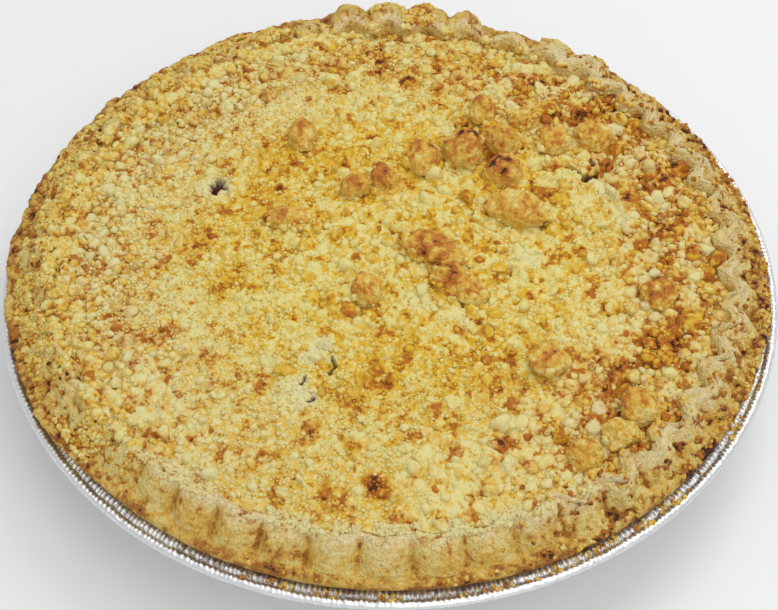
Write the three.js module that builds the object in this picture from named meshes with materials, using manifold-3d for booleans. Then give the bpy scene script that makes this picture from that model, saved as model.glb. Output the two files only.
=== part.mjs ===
// A cherry crumb pie in its foil tin. Millimetres, +Z up.
// The origin is the centre of the tin's flat base, on the surface that the pie stands on.
import * as THREE from "three";
import { SimplexNoise } from "three/addons/math/SimplexNoise.js";
import { mergeVertices } from "three/addons/utils/BufferGeometryUtils.js";
import Module from "manifold-3d";

// Clearance between pieces that lie against each other
const GAP = 0.3;

// Foil tin of the nine inch size: a sloping wall, a flat rim and a rolled edge, all pleated
const TIN_DEPTH = 30;
const TIN_RIM_R = 122.5;
const TIN_WALL_TOP_R = 110.5;
const TIN_BASE_R = 89;
const FOIL = 0.6;
const ROLL_WIDTH = 3;
const ROLL_HEIGHT = 0.8;
const PLEATS = 60;
const PLEAT_DEPTH = 0.35;

// Pastry shell, with a fluted wall that stands on a flange over the tin's rim
const PASTRY = 3.5;
const FLUTES = 48;
const FLUTE_SWING = 2.1;
const WALL_FOOT_R = 103.4;
const WALL_FOOT_Z = 35.5;
const CREST_R = 105.6;
const CREST_Z = 41;
const CREST_HALF = 1;
const CREST_DIP = 0.4;
const CREST_VARIES = 0.9;
const PAD_TOP_R = 109.4;
const PAD_TOP_Z = 38;
const PAD_FOOT_R = 111.6;
const PAD_FOOT_Z = 34.7;
const FLANGE_R = 117.8;
const FLANGE_Z = 34.2;
const FLANGE_ROUNDING = 2.2;

// Stretches of the rim: the angles, in degrees, at which each starts, is full, fades and ends.
// Strewn crumbs bury the flutes at the left, two groups of loops stick up and out at the back, and
// the crumbs inside the rim sink away from it at the back right.
const STREWN = [97, 112, 225, 240];
const STREWN_HEIGHT = 1.4;
const STREWN_PITCH = 5;
const FLUTES_BURIED = 0.6;
const STICKING_OUT = [[73, 77, 99, 103], [46, 50, 61, 65]];
const STICKS_UP = 4.5;
const STICKS_OUT = 2;
const SUNK = [15, 35, 88, 105];
const SUNK_BY = 2.6;

// Cherry filling, up to the underside of the crumbs
const FILLING_Z = 34.5;
const FILLING_R = 100.3;

// Crumb topping: a low dome with a bump for each cluster of fine crumbs, and larger crumbs fused on
const TOPPING_EDGE_Z = 39.3;
const TOPPING_CROWN = 4.6;
const TOPPING_R = 102;
const SWELL = 0.9;
const SWELL_PITCH = 45;
const BED_RINGS = 16;
const BUMP = 1.5;
const EDGE_CLEARANCE = 0.9;
const CRUMBS = 22;
const CRUMB_R = [3.2, 4.6];
const CRUMB_SPREAD_R = 95;

// Lumps of crumb as large as berries: centre x and y, then length, width and height, then turn in degrees
const LUMPS = {
  lump_folded: [12.6, -4.3, 25, 12.5, 11, -28],
  lump_folded_tail: [20, -16.5, 24, 9.5, 9, -40],
  lump_long: [40, 13.4, 23, 14, 11, -15],
  lump_burnt_front: [35.6, 30.6, 13.5, 13, 12, 20],
  lump_burnt_back: [23.4, 38.8, 13.5, 16.5, 12.5, 0],
  lump_tall: [36.4, 45, 14.5, 11.5, 12, -25],
  lump_behind: [30, 58.7, 10, 13, 10, 0],
  lump_mottled: [42.9, 56.5, 9, 10.5, 8.5, 0],
  lump_speckled: [52.8, 46.3, 12.5, 12, 9.5, 0],
  lump_rough: [66.7, 49, 13.5, 12.5, 10, 15],
  lump_brown_left: [10.2, 34.3, 12, 13.5, 10, 0],
  lump_dark_left: [-1.6, 26.4, 9.5, 9, 8.5, 0],
  lump_pale_left: [-11, 21.8, 10.5, 9, 8, 0],
  lump_oval: [-29, 45.5, 10, 13.5, 9, 10],
  lump_twin: [-32.6, 8.8, 14, 9.5, 8, -15],
  lump_centre: [-7.4, -21.5, 9.5, 12, 9.5, 0],
  lump_ringed: [47.4, -46, 12.5, 12.5, 9, 20],
  lump_dark_right: [82.3, -18, 11.5, 12, 9, 0],
  lump_big_right: [73.3, -61.3, 11.5, 12.5, 11, 10],
  lump_pale_right: [66.3, -71, 12, 9.5, 9.5, 35],
  lump_browned_right: [56, -78.8, 11.5, 10, 10, 0],
};
const LUMP_RISE = 0.17;
const KNOBBLES = 0.17;
const KNOBBLE_PITCH = 1.6;

// Places where the filling has bubbled up through the crumbs: x, y, length, width, turn in degrees
const BUBBLES = {
  back_left: [-56, 24.2, 6, 4.5, 60],
  back_right: [64.5, 32.4, 7.5, 4.5, -25],
  front_left: [-17.5, -47.5, 5.5, 4, -60],
};
const WELL_MARGIN = 0.9;
const BUBBLE_DEPTH = 0.8;
const CLEAR_OF_OTHERS = 10;

// Points round a ring: plain ones, those of a pleated ring, and those of a fluted one
const PLAIN = 48;
const PLEATED = 2 * PLEATS;
const FLUTED = 5 * FLUTES;

const TURN = 2 * Math.PI;
const GOLDEN_ANGLE = Math.PI * (3 - Math.sqrt(5));
const { degToRad, lerp, mapLinear, radToDeg, seededRandom, smoothstep } = THREE.MathUtils;
const wasm = await Module();
wasm.setup();
seededRandom(7);
const random = () => seededRandom();
const between = ([low, high]) => lerp(low, high, random());
const noise = new SimplexNoise({ random });

// A closed solid of revolution whose rings may wander and differ in their number of points.
// Each ring is [points, place], and place(angle) gives the radius and height there. The rings run
// outwards over the upper side and back along the underside, from axis to axis.
function turned(rings) {
  const positions = [];
  const index = [];
  const firstOf = [];
  for (const [points, place] of rings) {
    firstOf.push(positions.length / 3);
    for (let i = 0; i < points; i++) {
      const angle = (i / points) * TURN;
      const [radius, height] = place(angle);
      positions.push(radius * Math.cos(angle), radius * Math.sin(angle), height);
    }
  }
  for (let ring = 0; ring < rings.length - 1; ring++) {
    const [near, far] = [rings[ring][0], rings[ring + 1][0]];
    const a = (i) => firstOf[ring] + (i % near);
    const b = (i) => firstOf[ring + 1] + (i % far);
    let [i, j] = [0, 0];
    while (i < near || j < far) {
      if (j === far || (i < near && (i + 1) / near <= (j + 1) / far)) {
        if (near > 1) index.push(a(i), b(j), a(i + 1));
        i++;
      } else {
        if (far > 1) index.push(a(i), b(j), b(j + 1));
        j++;
      }
    }
  }
  const geometry = new THREE.BufferGeometry();
  geometry.setAttribute("position", new THREE.Float32BufferAttribute(positions, 3));
  geometry.setIndex(index);
  return solid(geometry);
}

// A closed geometry as a solid that can be joined and cut
function solid(geometry) {
  geometry.deleteAttribute("normal");
  geometry.deleteAttribute("uv");
  const merged = mergeVertices(geometry, 1e-3);
  return new wasm.Manifold(new wasm.Mesh({
    numProp: 3,
    vertProperties: new Float32Array(merged.attributes.position.array),
    triVerts: new Uint32Array(merged.index.array),
  }));
}

// The largest body of a solid, without any scraps that a cut has left
function largest(made) {
  return made.decompose().reduce((best, body) => (body.volume() > best.volume() ? body : best));
}

// A solid as a named mesh
function piece(name, made, material) {
  const { numProp, vertProperties, triVerts } = made.getMesh();
  const points = new THREE.InterleavedBuffer(vertProperties, numProp);
  const geometry = new THREE.BufferGeometry();
  geometry.setAttribute("position", new THREE.InterleavedBufferAttribute(points, 3, 0));
  geometry.setIndex(new THREE.BufferAttribute(triVerts, 1));
  const mesh = new THREE.Mesh(geometry, material);
  mesh.name = name;
  return mesh;
}

// A rounded crumb of the given half sizes, with a knobbly surface
function crumb([x, y, z], [a, b, c], turn, detail) {
  const geometry = new THREE.IcosahedronGeometry(1, detail);
  const corners = geometry.attributes.position;
  for (let i = 0; i < corners.count; i++) {
    const corner = new THREE.Vector3().fromBufferAttribute(corners, i);
    const at = corner.clone().multiplyScalar(KNOBBLE_PITCH);
    const bulge = 1 + KNOBBLES * noise.noise3d(at.x + x, at.y + y, at.z);
    corners.setXYZ(i, ...corner.multiplyScalar(bulge).toArray());
  }
  geometry.scale(a, b, c).rotateZ(turn).translate(x, y, z);
  return solid(geometry);
}

// Radius of the inside of the tin's wall at a height
function wallR(height) {
  return mapLinear(height, FOIL, TIN_DEPTH, TIN_BASE_R, TIN_WALL_TOP_R);
}

// The tin: its base, wall, flat rim and rolled edge. The last two numbers say how far a ring's
// pleats go across and down.
function tin() {
  const rollIn = TIN_RIM_R - ROLL_WIDTH;
  const rings = [
    [1, 0, FOIL, 0, 0],
    [PLAIN, TIN_BASE_R, FOIL, 0, 0],
    [PLEATED, TIN_WALL_TOP_R, TIN_DEPTH, 1, 0.4],
    [PLEATED, rollIn, TIN_DEPTH, 0, 0.7],
    [PLEATED, TIN_RIM_R - ROLL_WIDTH / 2, TIN_DEPTH + ROLL_HEIGHT, 0, 0.5],
    [PLEATED, TIN_RIM_R, TIN_DEPTH - ROLL_HEIGHT, 1, 0],
    [PLEATED, rollIn + FOIL, TIN_DEPTH - 2 * ROLL_HEIGHT, 0, 0],
    [PLEATED, TIN_WALL_TOP_R + FOIL, TIN_DEPTH - FOIL, 1, 0.4],
    [PLAIN, TIN_BASE_R + FOIL, 0, 0, 0],
    [1, 0, 0, 0, 0],
  ];
  return turned(rings.map(([points, radius, height, across, down]) => [points, (angle) => {
    const pleat = PLEAT_DEPTH * (Math.round((angle / TURN) * PLEATED) % 2);
    return [radius - across * pleat, height - down * pleat];
  }]));
}

// A share that is 0 before the first angle of a stretch, 1 between the middle two and 0 after the last
function along(angle, [start, full, fading, end]) {
  const degrees = (radToDeg(angle) + 360) % 360;
  return smoothstep(degrees, start, full) * (1 - smoothstep(degrees, fading, end));
}

// How the wall of pastry swings in and out: to the full on an outward loop, and back on an inward one.
// The outer face has wide loops and narrow grooves, and the inner face the other way round.
const fluteRise = Array.from({ length: FLUTES }, () => between([-CREST_VARIES, CREST_VARIES]));
function flute(angle) {
  const swing = FLUTES * angle + 0.35 * Math.sin(3 * angle) + 0.3 * Math.sin(7 * angle + 1);
  const number = Math.floor((angle / TURN) * FLUTES + 0.5) % FLUTES;
  const size = FLUTE_SWING * (1 - FLUTES_BURIED * along(angle, STREWN));
  const [x, y] = [Math.cos(angle) / STREWN_PITCH, Math.sin(angle) / STREWN_PITCH];
  return {
    outer: size * (1 - 2 * Math.abs(Math.sin(swing / 2)) ** 3),
    middle: size * Math.cos(swing),
    inner: size * (2 * Math.abs(Math.cos(swing / 2)) ** 3 - 1),
    rise: fluteRise[number],
    out: STICKING_OUT.reduce((share, stretch) => share + along(angle, stretch), 0),
    strewn: (radius) => STREWN_HEIGHT * along(angle, STREWN) * (1 + noise.noise(radius * x, radius * y)),
  };
}

// A ring of the fluted wall, whose place is worked out from the flute there
const fluted = (place) => [FLUTED, (angle) => place(flute(angle), angle)];

// The pastry wall's inner face: its foot among the crumbs, and just under the crest
const wallFoot = (at) => [WALL_FOOT_R + 0.7 * at.inner, WALL_FOOT_Z];
const wallTop = (at) => [CREST_R - CREST_HALF + 0.9 * at.middle, CREST_Z - CREST_DIP + at.rise];

// The pastry shell: a base and wall inside the tin, and the flange and fluted wall over its rim
const CLEAR = GAP + PLEAT_DEPTH + 0.2;
const PASTRY_FLOOR = FOIL + GAP + PASTRY;
function crust() {
  const shoulder = TIN_DEPTH - 2;
  const flangeUnder = TIN_DEPTH + GAP + 0.1;
  const wander = (angle) => 0.9 * Math.sin(2 * angle + 0.6) + 0.5 * Math.sin(5 * angle + 2);
  const bump = (angle) => 0.5 * Math.sin(11 * angle) + 0.35 * Math.sin(17 * angle + 2);
  return turned([
    [1, () => [0, PASTRY_FLOOR]],
    [PLAIN, () => [wallR(PASTRY_FLOOR) - CLEAR - PASTRY, PASTRY_FLOOR]],
    [PLAIN, () => [wallR(shoulder) - CLEAR - PASTRY, shoulder]],
    fluted(wallFoot),
    fluted(wallTop),
    fluted((at) => [CREST_R + CREST_HALF + at.middle, CREST_Z + at.rise + at.strewn(CREST_R)]),
    fluted((at) => [
      PAD_TOP_R + at.outer + STICKS_OUT * at.out,
      PAD_TOP_Z + 0.6 * at.rise + STICKS_UP * at.out + at.strewn(PAD_TOP_R),
    ]),
    fluted((at, angle) => [
      PAD_FOOT_R + 1.15 * at.outer + STICKS_OUT * at.out,
      PAD_FOOT_Z + 0.3 * bump(angle) + 0.5 * STICKS_UP * at.out + at.strewn(PAD_FOOT_R),
    ]),
    fluted((at, angle) => [FLANGE_R - FLANGE_ROUNDING + 0.5 * wander(angle), FLANGE_Z + bump(angle)]),
    fluted((at, angle) => [FLANGE_R + wander(angle), FLANGE_Z - 1.2 + 0.5 * bump(angle)]),
    fluted((at, angle) => [FLANGE_R - CREST_DIP + wander(angle), flangeUnder]),
    [PLAIN, () => [TIN_WALL_TOP_R - CLEAR, flangeUnder]],
    [PLAIN, () => [wallR(FOIL + GAP) - CLEAR, FOIL + GAP]],
    [1, () => [0, FOIL + GAP]],
  ]);
}

// Height of the crumbs' surface before its roughness: a low dome with slow swells, and its edge
const edgeZ = (angle) => TOPPING_EDGE_Z - SUNK_BY * along(angle, SUNK);
function domeZ(x, y) {
  const share = Math.min(1, Math.hypot(x, y) / TOPPING_R);
  const edge = lerp(TOPPING_EDGE_Z, edgeZ(Math.atan2(y, x)), share ** 8);
  const swell = SWELL * noise.noise(x / SWELL_PITCH, y / SWELL_PITCH);
  return edge + TOPPING_CROWN * (1 - share ** 2.4) + swell * (1 - share ** 6);
}

// The place where the crumbs meet the pastry wall at a height
function besideWall(at, height) {
  const [[footR, footZ], [topR, topZ]] = [wallFoot(at), wallTop(at)];
  return [mapLinear(height, footZ, topZ, footR, topR) - GAP - EDGE_CLEARANCE, height];
}

// The crumb layer without its larger crumbs: rings of points as far apart as they are from their
// neighbours, each raised or lowered, and an edge that follows the pastry wall
function crumbBed() {
  const rings = [[1, () => [0, domeZ(0, 0)]]];
  for (let ring = 1; ring < BED_RINGS; ring++) {
    const radius = ((TOPPING_R - 1) * ring) / BED_RINGS;
    rings.push([6 * ring, (angle) => {
      const bumpy = domeZ(radius * Math.cos(angle), radius * Math.sin(angle)) + between([-BUMP, BUMP]);
      return [radius + between([-BUMP, BUMP]), bumpy];
    }]);
  }
  rings.push(fluted((at, angle) => besideWall(at, edgeZ(angle))));
  rings.push(fluted((at) => [besideWall(at, WALL_FOOT_Z)[0] - GAP, WALL_FOOT_Z]));
  rings.push([PLAIN, () => [FILLING_R, FILLING_Z + GAP]]);
  rings.push([1, () => [0, FILLING_Z + GAP]]);
  return turned(rings);
}

// The larger crumbs in the layer, spread evenly on a sunflower spiral, clear of lumps and bubbles
function beddedCrumbs() {
  const taken = [...Object.values(LUMPS), ...Object.values(BUBBLES)];
  const places = [];
  for (let i = 0; places.length < CRUMBS; i++) {
    const radius = CRUMB_SPREAD_R * Math.sqrt((i + 0.5) / (2 * CRUMBS));
    const [x, y] = [radius * Math.cos(i * GOLDEN_ANGLE), radius * Math.sin(i * GOLDEN_ANGLE)];
    const clear = taken.every(([tx, ty]) => Math.hypot(x - tx, y - ty) > CLEAR_OF_OTHERS);
    if (clear) places.push([x, y]);
  }
  return places.map(([x, y]) => {
    const size = between(CRUMB_R);
    return crumb([x, y, domeZ(x, y)], [size, 0.85 * size, 0.8 * size], TURN * random(), 0);
  });
}

// One lump of crumb, sunk a little into the layer
function lump([x, y, length, width, height, degrees], grow = 0) {
  const centre = [x, y, domeZ(x, y) + LUMP_RISE * height];
  const halfSizes = [length / 2 + grow, width / 2 + grow, height / 2 + grow];
  return crumb(centre, halfSizes, degToRad(degrees), 1);
}

// A bubble of filling, or with a margin the well in the crumbs that it stands in
function bubble([x, y, length, width, degrees], margin = 0) {
  const reach = domeZ(x, y) - BUBBLE_DEPTH - FILLING_Z + 6 * margin;
  const halfSizes = [length / 2 + margin, width / 2 + margin, reach];
  return crumb([x, y, FILLING_Z], halfSizes, degToRad(degrees), 1);
}

// The filling: a thick disc in the pastry shell, with its bubbles
function filling() {
  const floor = PASTRY_FLOOR + GAP;
  const inset = CLEAR + PASTRY + GAP + 0.2;
  const shoulder = TIN_DEPTH - 2.5;
  const disc = turned([
    [1, () => [0, FILLING_Z]],
    [PLAIN, () => [FILLING_R, FILLING_Z]],
    [PLAIN, () => [wallR(shoulder) - inset, shoulder]],
    [PLAIN, () => [wallR(floor) - inset, floor]],
    [1, () => [0, floor]],
  ]);
  return Object.values(BUBBLES).reduce((made, place) => made.add(bubble(place)), disc);
}

// Each lump is cut back where it would touch one that is already there
function lumps() {
  const placed = [];
  for (const [name, place] of Object.entries(LUMPS)) {
    const cut = placed.reduce((rest, other) => rest.subtract(lump(other.place, 1.5 * GAP)), lump(place));
    placed.push({ name, place, made: largest(cut) });
  }
  return placed;
}

// The topping: the layer and its larger crumbs, with a socket for each lump and a well for each bubble
function topping() {
  let made = crumbBed();
  for (const one of beddedCrumbs()) made = made.add(one);
  for (const place of Object.values(LUMPS)) made = made.subtract(lump(place, 1.5 * GAP));
  for (const place of Object.values(BUBBLES)) made = made.subtract(bubble(place, WELL_MARGIN));
  return largest(made);
}

const finish = (color, roughness, metalness = 0) =>
  new THREE.MeshStandardMaterial({ color, roughness, metalness, flatShading: true });
const materials = {
  foil: finish(0xc9ccd0, 0.35, 1),
  pastry: finish(0xd2a85c, 0.75),
  cherry: finish(0x4a1420, 0.25),
  crumb: finish(0xdcbd68, 0.9),
  browned: finish(0xbf8442, 0.85),
};

const pie = new THREE.Group();
pie.add(
  piece("foil_tin", tin(), materials.foil),
  piece("pastry_crust", crust(), materials.pastry),
  piece("cherry_filling", filling(), materials.cherry),
  piece("crumb_topping", topping(), materials.crumb),
  ...lumps().map(({ name, made }) => piece(name, made, materials.browned)),
);

export default pie;
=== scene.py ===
# A cherry crumb pie in its foil tin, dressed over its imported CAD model. The frame is in metres, and the
# sizes here are in millimetres: MM turns them into metres.
import math

import bpy
import numpy as np
from mathutils import Matrix, Vector
from mathutils.bvhtree import BVHTree


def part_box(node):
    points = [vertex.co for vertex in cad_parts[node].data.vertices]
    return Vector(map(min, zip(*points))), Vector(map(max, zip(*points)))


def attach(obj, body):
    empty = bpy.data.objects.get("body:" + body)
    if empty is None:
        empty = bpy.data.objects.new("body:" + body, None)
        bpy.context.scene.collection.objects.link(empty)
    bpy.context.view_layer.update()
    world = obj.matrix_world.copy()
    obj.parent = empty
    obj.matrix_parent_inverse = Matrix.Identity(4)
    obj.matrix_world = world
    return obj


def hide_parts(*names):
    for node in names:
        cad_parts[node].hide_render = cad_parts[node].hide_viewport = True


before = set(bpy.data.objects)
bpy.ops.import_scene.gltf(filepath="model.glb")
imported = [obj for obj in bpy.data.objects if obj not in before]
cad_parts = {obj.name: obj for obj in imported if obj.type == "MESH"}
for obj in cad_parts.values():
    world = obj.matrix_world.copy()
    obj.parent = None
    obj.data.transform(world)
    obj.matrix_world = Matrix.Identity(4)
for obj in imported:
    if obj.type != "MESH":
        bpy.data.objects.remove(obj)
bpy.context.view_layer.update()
MM = 0.001

# The stage: a pale tabletop, a large soft light behind the pie's right shoulder, a second one high above it
# and a third in front, and the camera of the photograph, which looks down from the front at about 50
# degrees.
bpy.ops.object.select_all(action="DESELECT")
bpy.ops.mesh.primitive_plane_add(size=6)
floor = bpy.context.object
floor.name = "floor"
floor.data.materials.append(bpy.data.materials.new("pale tabletop"))
floor.active_material.use_nodes = True
tabletop = floor.active_material.node_tree.nodes["Principled BSDF"]
tabletop.inputs["Base Color"].default_value = (0.92, 0.92, 0.92, 1)
tabletop.inputs["Roughness"].default_value = 0.6

world = bpy.data.worlds.new("studio")
world.use_nodes = True
world.node_tree.nodes["Background"].inputs["Color"].default_value = (1, 1, 1, 1)
world.node_tree.nodes["Background"].inputs["Strength"].default_value = 0.56
bpy.context.scene.world = world


def softbox(name, azimuth, elevation, distance, size, power):
    """A square light that looks at the pie; azimuth 0 is the front, and 90 the pie's right."""
    turn, rise = math.radians(azimuth - 90), math.radians(elevation)
    towards = Vector((math.cos(turn) * math.cos(rise), math.sin(turn) * math.cos(rise), math.sin(rise)))
    bpy.ops.object.light_add(type="AREA", location=towards * distance)
    light = bpy.context.object
    light.name = name
    light.data.size = size
    light.data.energy = power
    light.rotation_euler = towards.to_track_quat("Z", "Y").to_euler()


softbox("key light", azimuth=140, elevation=56, distance=1.1, size=0.6, power=2.5)
softbox("top light", azimuth=180, elevation=82, distance=1.2, size=0.8, power=1.7)
softbox("front light", azimuth=20, elevation=52, distance=1.3, size=0.9, power=3.4)
bpy.context.scene.view_settings.view_transform = "Standard"

CAMERA_ELEVATION = math.radians(49.93)
CAMERA_ROLL = math.radians(0.58)
CAMERA_DISTANCE = 0.55
CAMERA_TARGET = Vector((-0.22, -13.66, 30)) * MM
CAMERA_LENS = 81.3
CAMERA_SENSOR = 36
bpy.ops.object.camera_add()
camera = bpy.context.object
camera.data.lens = CAMERA_LENS
camera.data.sensor_width = CAMERA_SENSOR
camera.matrix_world = (
    Matrix.Translation(CAMERA_TARGET)
    @ Matrix.Rotation(math.pi / 2 - CAMERA_ELEVATION, 4, "X")
    @ Matrix.Rotation(CAMERA_ROLL, 4, "Z")
    @ Matrix.Translation((0, 0, CAMERA_DISTANCE))
)
bpy.context.scene.camera = camera

# The foil tin: one thin sheet of foil, pressed over a round mould. Its spare width is gathered into
# hundreds of fine crimps down the wall and across the rim, and its edge is rolled over into a bead.
TIN_BASE_R = 89
TIN_WALL_R = 110.5
TIN_RIM_R = 122.3
TIN_DEPTH = 30
FOIL = 0.6
CRIMPS = 480
POINTS_PER_CRIMP = 4


def turned(name, outline, steps):
    """A surface of revolution: the outline of radius and height is drawn point by point, then spun."""
    bpy.ops.object.select_all(action="DESELECT")
    bpy.ops.mesh.primitive_plane_add(size=MM)
    piece = bpy.context.object
    piece.name = name
    bpy.ops.object.mode_set(mode="EDIT")
    bpy.ops.mesh.merge(type="CENTER")
    here = Vector((outline[0][0], 0, outline[0][1]))
    bpy.ops.transform.translate(value=here * MM)
    for radius, height in outline[1:]:
        step = Vector((radius, 0, height)) - here
        bpy.ops.mesh.extrude_region_move(TRANSFORM_OT_translate={"value": step * MM})
        here += step
    bpy.ops.object.mode_set(mode="OBJECT")
    bpy.ops.object.transform_apply(location=True)
    spun = piece.modifiers.new("spun", "SCREW")
    spun.steps = spun.render_steps = steps
    spun.use_merge_vertices = True
    spun.merge_threshold = 0.02 * MM
    bpy.ops.object.modifier_apply(modifier=spun.name)
    bpy.ops.object.mode_set(mode="EDIT")
    bpy.ops.mesh.select_all(action="SELECT")
    bpy.ops.mesh.remove_doubles(threshold=0.02 * MM)
    bpy.ops.mesh.normals_make_consistent(inside=False)
    bpy.ops.object.mode_set(mode="OBJECT")
    piece.data.shade_smooth()
    return piece


def vertices_of(piece):
    """The places of a mesh's vertices, in millimetres, one row each."""
    flat = np.empty(3 * len(piece.data.vertices), np.float32)
    piece.data.vertices.foreach_get("co", flat)
    return flat.reshape(-1, 3).astype(float) / MM


def move_vertices(piece, places):
    """Puts a mesh's vertices at these places, in millimetres."""
    piece.data.vertices.foreach_set("co", (places * MM).astype(np.float32).ravel())
    piece.data.update()


def cell_chance(cell, seed):
    """A number from 0 to 1 for each cell of space, the same each time it is asked for."""
    mixed = np.sin(cell @ (127.1, 311.7, 74.7) + 13.7 * seed) * 43758.5453
    return mixed - np.floor(mixed)


def swells(places, pitch, seed):
    """Smooth noise from -1 to 1 at each place, with swells about as far apart as the pitch."""
    at = places / pitch + 17.3 * seed
    low = np.floor(at)
    share = at - low
    share = share * share * (3 - 2 * share)
    total = np.zeros(len(places))
    for corner in np.ndindex(2, 2, 2):
        weight = np.prod(np.where(corner, share, 1 - share), axis=1)
        total += weight * (2 * cell_chance(low + corner, seed) - 1)
    return total


def knobs(places, size, seed):
    """Packed rounded knobs of about this size: near 1 at the top of each, near 0 in the creases."""
    at = places / size + 9.1 * seed
    low = np.floor(at)
    nearest = np.full(len(places), 9.0)
    for corner in np.ndindex(3, 3, 3):
        cell = low + corner - 1
        middle = cell + np.column_stack([cell_chance(cell, seed + i) for i in (0.1, 0.2, 0.3)])
        nearest = np.minimum(nearest, ((middle - at) ** 2).sum(axis=1))
    return np.sqrt(np.maximum(1 - 1.6 * nearest, 0))


def ramp(value, start, end):
    """0 before the start, 1 after the end, and smooth between them."""
    share = np.clip((value - start) / (end - start), 0, 1)
    return share * share * (3 - 2 * share)


BEAD = [(118.4, 30.0), (119.1, 29.6), (119.6, 29.9), (120.1, 30.4), (120.9, 30.75), (121.7, 30.5),
        (TIN_RIM_R, 29.8), (122.1, 29.0), (121.4, 28.5), (120.4, 28.5), (119.6, 28.9)]
wall_shares = [0.03, 0.2, 0.4, 0.6, 0.8, 0.93, 1]
wall = [(TIN_BASE_R + share * (TIN_WALL_R - TIN_BASE_R), FOIL + share * (TIN_DEPTH - FOIL))
        for share in wall_shares]
rim = [(TIN_WALL_R + step, TIN_DEPTH) for step in (1.5, 3.5, 5, 6.2, 7.2)]
underside = [(radius + FOIL, height - FOIL) for radius, height in reversed(wall + rim[:3])]
foil_outline = [(0, FOIL), (60, FOIL), (TIN_BASE_R - 2, FOIL), *wall, *rim, *BEAD, *underside,
                (TIN_BASE_R, 0), (TIN_BASE_R - 3, 0), (60, 0), (0, 0)]
tin = turned("tin", foil_outline, CRIMPS * POINTS_PER_CRIMP)

at = vertices_of(tin)
radius = np.hypot(at[:, 0], at[:, 1])
angle = np.arctan2(at[:, 1], at[:, 0])
round_the_rim = np.column_stack([TIN_RIM_R * np.cos(angle), TIN_RIM_R * np.sin(angle), 0 * angle])
wave = np.cos(CRIMPS * angle + 4 * swells(round_the_rim, 5, 1) + 2 * swells(round_the_rim, 2.2, 5))
depth = 0.8 + 0.7 * swells(round_the_rim, 2.2, 2) + 0.4 * swells(round_the_rim, 12, 3)
on_rim = ramp(radius, 109, 112)
on_bead = ramp(radius, 119.4, 120.6)
on_wall = ramp(at[:, 2], 3, 16) * (1 - on_rim)
dents = 0.35 * swells(round_the_rim, 30, 4)
radius += 0.3 * wave * depth * on_wall - (0.3 - 0.16 * on_bead) * on_rim * (0.5 + 0.5 * wave) * depth
at[:, 0] = radius * np.cos(angle)
at[:, 1] = radius * np.sin(angle)
crumpled = 0.22 * swells(at, 1.7, 8) * on_rim
at[:, 2] += on_rim * ((0.5 - 0.4 * on_bead) * wave * depth + dents - 0.15) + crumpled
move_vertices(tin, at)


def material(name, roughness=0.5, metallic=0.0, shine=0.5):
    """A new material, and its shader with these constants set."""
    made = bpy.data.materials.new(name)
    made.use_nodes = True
    shader = made.node_tree.nodes["Principled BSDF"]
    shader.inputs["Roughness"].default_value = roughness
    shader.inputs["Metallic"].default_value = metallic
    shader.inputs["Specular IOR Level"].default_value = shine
    return made, shader


def add_node(tree, kind, settings=None, **inputs):
    """A node in a tree, with its settings made and each input given a value or a link.

    An input is named by its own name, with _ for a space, or by i and its number.
    """
    made = tree.nodes.new(kind)
    for name, value in (settings or {}).items():
        setattr(made, name, value)
    for name, value in inputs.items():
        socket = made.inputs[int(name[1:])] if name[1:].isdigit() else made.inputs[name.replace("_", " ")]
        if isinstance(value, bpy.types.NodeSocket):
            tree.links.new(value, socket)
        else:
            socket.default_value = value
    return made


def add_mask(piece, name, values):
    """A named value at each vertex, for the piece's material to read."""
    made = piece.data.attributes.new(name, "FLOAT", "POINT")
    made.data.foreach_set("value", np.asarray(values, np.float32))


def mask(tree, name):
    """The piece's own value of this name."""
    return add_node(tree, "ShaderNodeAttribute", {"attribute_name": name}).outputs["Fac"]


def mottle(tree, size, detail=3):
    """Noise over the surface with patches of about this size in millimetres."""
    place = add_node(tree, "ShaderNodeTexCoord").outputs["Object"]
    return add_node(tree, "ShaderNodeTexNoise", Vector=place, Scale=1000 / size, Detail=detail).outputs["Fac"]


def bump(tree, height, strength, distance):
    """A bump from a height; the distance is in millimetres."""
    made = add_node(tree, "ShaderNodeBump", Height=height, Strength=strength, Distance=distance * MM)
    return made.outputs["Normal"]


# Painted shade and painted reflection: the foil's colour is darkened in the valleys of the crimps on the rim
# and the wall, where shade and dark reflections gather.
fold_shade = on_rim * (1 - on_bead) * ramp(-wave, 0, 1) * (0.7 + 0.5 * swells(round_the_rim, 1.9, 6))
add_mask(tin, "fold", np.clip(fold_shade + 0.3 * on_wall * ramp(-wave, 0, 1), 0, 1))

foil, shader = material("bright foil", metallic=1)
tree = foil.node_tree
handled = add_node(tree, "ShaderNodeMapRange", i0=mottle(tree, 6), i3=0.28, i4=0.5)
tree.links.new(handled.outputs[0], shader.inputs["Roughness"])
# The painted shade in the crimps' valleys: bright foil turns dark grey along the fold mask.
deep = add_node(tree, "ShaderNodeMix", {"data_type": "RGBA"}, i0=mask(tree, "fold"),
                i6=(0.88, 0.885, 0.89, 1), i7=(0.36, 0.355, 0.35, 1))
tree.links.new(deep.outputs[2], shader.inputs["Base Color"])
tree.links.new(bump(tree, mottle(tree, 1.1, detail=5), 0.8, 0.35), shader.inputs["Normal"])
tin.data.materials.append(foil)
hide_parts("foil_tin")
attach(tin, "root")

# The pastry shell: shortcrust lining the tin. Its edge is folded over the rim as a flange, and the fold
# stands up in 48 pinched flutes: broad thumb-shaped pads outside with narrow grooves between them, a
# floury crest, and hollows inside.
FLUTES = 48
CREST_R = 105.6
PAD_TOP_R = 109.6
PAD_FOOT_R = 112.6
FLANGE_R = 117.4
POINTS_PER_FLUTE = 28
# The wall's inner face, and the share of the crest's depth by which it swings in and out
WALL_R = 104
INNER_SWING = 0.75


def facing(angle, middle, full, end):
    """1 on the stretch of rim within so many degrees of its middle, fading to 0 at the end."""
    away = np.abs((np.degrees(angle) - middle + 180) % 360 - 180)
    return 1 - ramp(away, full, end)


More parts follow.
